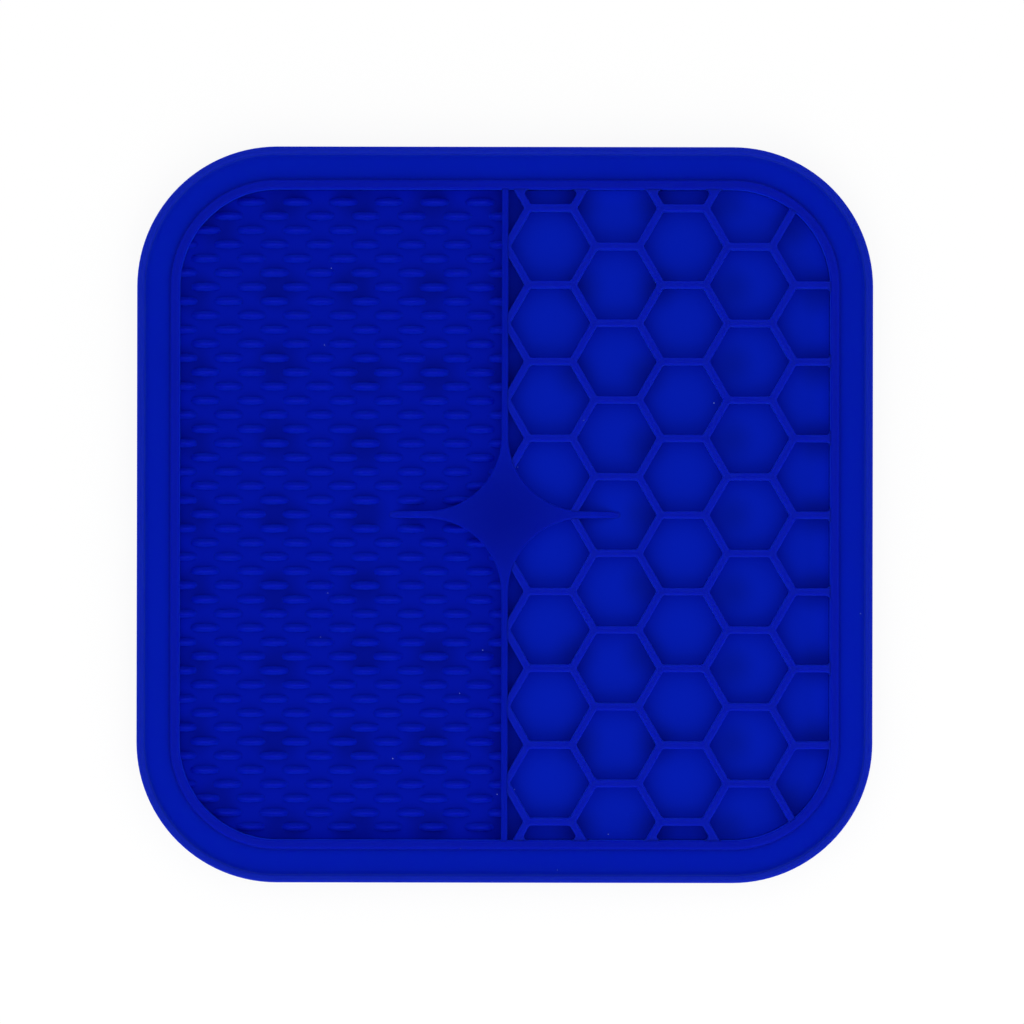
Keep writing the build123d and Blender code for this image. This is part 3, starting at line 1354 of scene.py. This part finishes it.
@dataclass
class SuctionCups:
    """One ring of suction cups."""

    plan: MatPlan
    ring: CupRing
    finish: bpy.types.Material
    lip_radius: float = CUP_RADIUS
    lip_width: float = 0.6 * MM
    lip_bevel: float = 0.15 * MM
    edge_thickness: float = 0.6 * MM
    edge_share: float = 0.8
    shoulder: float = 0.2 * MM
    neck_radius: float = 3.8 * MM
    flare_power: float = 1.8
    flare_steps: int = 4
    hollow: float = 1.5 * MM
    hollow_steps: int = 5
    press: float = 1.5 * MM
    sides: int = 28
    crease_angle: float = 50.0

    def cup(self) -> bpy.types.Object:
        """Turns one cup, from its hollow round the lip to its neck.

        Returns:
            The cup, at the origin.
        """
        top = self.plan.sheet_bottom
        inner, shoulder = self.lip_radius - self.lip_width, self.lip_radius - self.shoulder
        line: list[Point] = []
        for step in range(1, self.hollow_steps + 1):
            share = step / self.hollow_steps
            line.append((inner * share, self.hollow * (1 - share**2)))
        line += [(self.lip_radius - self.lip_bevel, 0.0), (self.lip_radius, self.lip_bevel)]
        line += [(self.lip_radius, self.edge_thickness * self.edge_share)]
        for step in range(self.flare_steps + 1):
            share = step / self.flare_steps
            height = self.edge_thickness + (top - self.edge_thickness) * share**self.flare_power
            line.append((shoulder - (shoulder - self.neck_radius) * share, height))
        turns = [math.tau * side / self.sides for side in range(self.sides)]
        rings = [[(radius * math.cos(a), radius * math.sin(a), z) for a in turns] for radius, z in line]
        return ring_object("suction_cup", rings)

    def build(self) -> bpy.types.Object:
        """Sets a cup at each place of the square ring.

        Returns:
            The finished piece.
        """
        ring = self.ring
        bench = GeometryBench(
            f"{ring.node}_soft",
            {
                "Cup": self.cup(),
                "Side Count": 2 * ring.each_way + 3,
                "Pitch": ring.pitch,
                "Half": ring.half,
                "Corner": ring.corner,
                "Finish": self.finish,
            },
        )
        points = bench.lattice("Side Count", "Side Count", "Pitch", "Pitch")
        x, y, _ = bench.place()
        spaces = bench.math("MULTIPLY", bench.math("SUBTRACT", bench.given("Side Count"), 2.0), 0.5)
        limit = bench.math("MULTIPLY", spaces, bench.given("Pitch"))
        far = [bench.math("GREATER_THAN", bench.math("ABSOLUTE", axis), limit) for axis in (x, y)]
        inner = bench.math("LESS_THAN", bench.math("ADD", *far), 0.5)
        inputs = {"Geometry": points, "Selection": inner}
        square = bench.add("GeometryNodeDeleteGeometry", inputs, domain="POINT")
        moved = []
        for axis, own, other in ((x, far[0], far[1]), (y, far[1], far[0])):
            longer = bench.math("SUBTRACT", bench.given("Corner"), bench.given("Half"))
            target = bench.math("MULTIPLY_ADD", other, longer, bench.given("Half"))
            apart = bench.math("SUBTRACT", bench.math("MULTIPLY", bench.math("SIGN", axis), target), axis)
            moved.append(bench.math("MULTIPLY_ADD", own, apart, axis))
        spots = bench.set_place(square.outputs["Geometry"], "Position", bench.join(*moved, 0.0))
        piece = bench.run(bench.copies(spots, "Cup"))
        smooth_by_angle(piece, self.crease_angle)
        set_on_body(piece, MAT_BODY, (ring.node,))
        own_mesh(piece)
        return piece


@dataclass
class Sheet:
    """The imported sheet, whose finish shows the cups below."""

    finish: bpy.types.Material

    def dress(self) -> None:
        """Gives the sheet its finish and reports it."""
        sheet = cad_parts["base_sheet"]
        sheet.data.materials.clear()
        sheet.data.materials.append(self.finish)
        LOG.info("base_sheet: dressed")


@dataclass
class Studio:
    """The white floor, the soft lights and the camera over the mat."""

    plan: MatPlan
    view_width: float = 278.2 * MM
    camera_height: float = 1.6
    camera_shift: Point = (1.96 * MM, 0.76 * MM)
    camera_turn: float = 0.1
    sensor_width: float = 36.0
    lamp_place: Place = (0.08, -0.6, 0.48)
    lamp_size: float = 0.6
    lamp_watts: float = 1.6
    floor_size: float = 6.0
    floor_white: Colour = (0.9, 0.9, 0.9)
    sky_low: float = 0.70
    sky_high: float = 1.18
    sky_edges: Point = (0.2, 0.9)
    floor_glow: float = 0.88

    def build(self) -> None:
        """Sets up the floor, the world, the lamp and the camera."""
        self.floor()
        self.world()
        self.lamp()
        self.camera()
        bpy.context.scene.view_settings.view_transform = "Standard"

    def camera_share(self, bench: NodeBench) -> Socket:
        """Finds the rays that show the background, straight or in a reflection.

        Args:
            bench: The nodes of the floor or of the world.

        Returns:
            1 for those rays, and 0 for the rest.
        """
        path = bench.add("ShaderNodeLightPath")
        seen = bench.math("ADD", path.outputs["Is Camera Ray"], path.outputs["Is Glossy Ray"])
        seen = bench.math("ADD", seen, path.outputs["Is Transmission Ray"])
        return bench.math("MINIMUM", seen, 1.0)

    def floor(self) -> None:
        """A white floor that glows to the camera and keeps a faint shadow."""
        half = self.floor_size / 2
        mesh = bpy.data.meshes.new("floor")
        corners = [(-half, -half, 0), (half, -half, 0), (half, half, 0), (-half, half, 0)]
        mesh.from_pydata(corners, [], [(0, 1, 2, 3)])
        floor = placed("floor", mesh)
        material = bpy.data.materials.new("white_floor")
        material.use_nodes = True
        bench = NodeBench(material.node_tree)
        material.node_tree.nodes.clear()
        paper = bench.add("ShaderNodeBsdfDiffuse", {"Color": (*self.floor_white, 1.0)})
        glow = bench.add("ShaderNodeEmission", {"Strength": 1.0})
        share = bench.math("MULTIPLY", self.camera_share(bench), self.floor_glow)
        blend = bench.add("ShaderNodeMixShader", {0: share, 1: paper.outputs[0], 2: glow.outputs[0]})
        bench.add("ShaderNodeOutputMaterial", {"Surface": blend.outputs[0]})
        mesh.materials.append(material)

    def world(self) -> None:
        """A white backdrop to the camera, and to everything else a soft sky that is brightest overhead."""
        world = bpy.data.worlds.new("studio_sky")
        bpy.context.scene.world = world
        world.use_nodes = True
        bench = NodeBench(world.node_tree)
        world.node_tree.nodes.clear()
        _, _, up = bench.split(bench.add("ShaderNodeTexCoord").outputs["Generated"])
        light = bench.remap(up, self.sky_edges, (self.sky_low, self.sky_high))
        seen = bench.add("ShaderNodeMapRange", {"Value": self.camera_share(bench), "To Min": light})
        inputs = {"Color": (1.0, 1.0, 1.0, 1.0), "Strength": seen.outputs["Result"]}
        back = bench.add("ShaderNodeBackground", inputs)
        bench.add("ShaderNodeOutputWorld", {"Surface": back.outputs[0]})

    def lamp(self) -> None:
        """A square softbox in front of the mat, which faces its middle."""
        light = bpy.data.lights.new("front_softbox", "AREA")
        light.size = self.lamp_size
        light.energy = self.lamp_watts
        lamp = placed("front_softbox", light)
        lamp.location = self.lamp_place
        lamp.rotation_euler = (-Vector(self.lamp_place)).to_track_quat("-Z", "Y").to_euler()

    def camera(self) -> None:
        """A camera straight above the mat, with the back edge up in the picture."""
        lens = bpy.data.cameras.new("camera")
        lens.sensor_width = self.sensor_width
        lens.lens = self.sensor_width * self.camera_height / self.view_width
        camera = placed("camera", lens)
        camera.location = (*self.camera_shift, self.plan.wall_top + self.camera_height)
        camera.rotation_euler.z = math.radians(self.camera_turn)
        bpy.context.scene.camera = camera


def main() -> None:
    """Builds every piece in order, then the studio."""
    logging.basicConfig(level=logging.INFO, format="%(name)s %(message)s")
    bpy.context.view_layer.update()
    plan = MatPlan.from_frame()
    rings = (
        CupRing.from_frame("outer_suction_cups", pitch=20.1 * MM, each_way=3, corner=78.8 * MM),
        CupRing.from_frame("middle_suction_cups", pitch=20.67 * MM, each_way=2, corner=62.0 * MM),
        CupRing.from_frame("inner_suction_cups", pitch=19.1 * MM, each_way=1, corner=38.2 * MM),
    )
    Rim(plan, RimFinish("rim_silicone", plan=plan).build()).build()
    DividerStar(plan, StarFinish("star_silicone", top=plan.star_top).build()).build()
    ridge_finish = RidgeFinish("ridge_silicone", foot_height=plan.floor, crest_height=plan.ridge_top)
    RidgeField(plan, ridge_finish.build()).build()
    rib_finish = RibFinish("rib_silicone", foot_height=plan.floor, crest_height=plan.rib_top)
    Honeycomb(plan, rib_finish.build()).build()
    cup_finish = SiliconeFinish("cup_silicone").build()
    for ring in rings:
        SuctionCups(plan, ring, cup_finish).build()
    Sheet(SheetFinish("sheet_silicone", plan=plan, rings=rings).build()).dress()
    Studio(plan).build()


if __name__ == "__main__":
    main()
